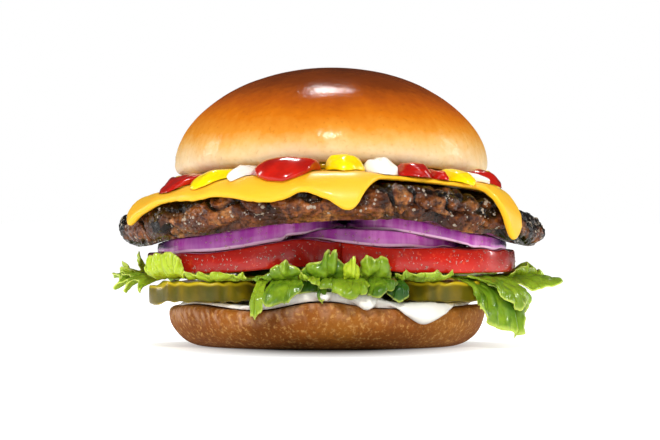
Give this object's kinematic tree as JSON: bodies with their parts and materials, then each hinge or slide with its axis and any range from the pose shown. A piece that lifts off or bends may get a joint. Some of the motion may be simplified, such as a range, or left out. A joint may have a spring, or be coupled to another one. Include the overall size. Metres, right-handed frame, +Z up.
{
  "type": "cheeseburger",
  "caption": "Tall cheeseburger on a round bun, with a wide grilled patty, melted cheese, onion, tomato, curly lettuce, pickles and sauces.",
  "frame": {"origin": "middle of the heel's flat underside, which the burger stands on", "axes": "+Z up through the stack; -Y towards the front that the picture shows; +X to the right of that front, where the lettuce reaches out furthest"},
  "size_m": [0.1488, 0.1495, 0.093],
  "materials": {
    "cheese": "melted processed cheese, smooth and softly glossy",
    "crown_crust": "glazed bun crust, dark brown on top to cream at the rim",
    "heel_crust": "baked bun underside, matte golden brown with fine pores",
    "ketchup": "wet, glossy red sauce",
    "mustard": "glossy yellow sauce",
    "mayo": "glossy off-white sauce",
    "lettuce": "thin curly leaf, green with pale yellow-green edges and ribs",
    "onion": "wet purple onion with pale cut edges",
    "beef": "chargrilled beef, coarse, brown with black char and wet glints",
    "pickle": "wet olive-green crinkle-cut pickle",
    "tomato": "wet red tomato skin and flesh with water drops"
  },
  "bodies": {
    "root": {"cheese": "cheese", "crown": "crown_crust", "heel": "heel_crust", "ketchup_1": "ketchup", "ketchup_2": "ketchup", "ketchup_3": "ketchup", "ketchup_4": "ketchup", "ketchup_5": "ketchup", "ketchup_6": "ketchup", "ketchup_7": "ketchup", "ketchup_8": "ketchup", "ketchup_9": "ketchup", "lettuce_back": "lettuce", "lettuce_back_left": "lettuce", "lettuce_back_right": "lettuce", "lettuce_bed": "lettuce", "lettuce_edge_left": "lettuce", "lettuce_edge_right": "lettuce", "lettuce_front_lower": "lettuce", "lettuce_front_upper": "lettuce", "lettuce_left": "lettuce", "lettuce_rib": "lettuce", "lettuce_right_lower": "lettuce", "lettuce_right_upper": "lettuce", "mayo_1": "mayo", "mayo_2": "mayo", "mayo_3": "mayo", "mayo_4": "mayo", "mayo_5": "mayo", "mayo_pool": "mayo", "mustard_1": "mustard", "mustard_2": "mustard", "mustard_3": "mustard", "mustard_4": "mustard", "mustard_5": "mustard", "mustard_6": "mustard", "onion_left": "onion", "onion_lower": "onion", "onion_upper": "onion", "patty": "beef", "pickle_back_left": "pickle", "pickle_back_right": "pickle", "pickle_front_left": "pickle", "pickle_front_right": "pickle", "tomato_left": "tomato", "tomato_right": "tomato"}
  },
  "joints": []
}
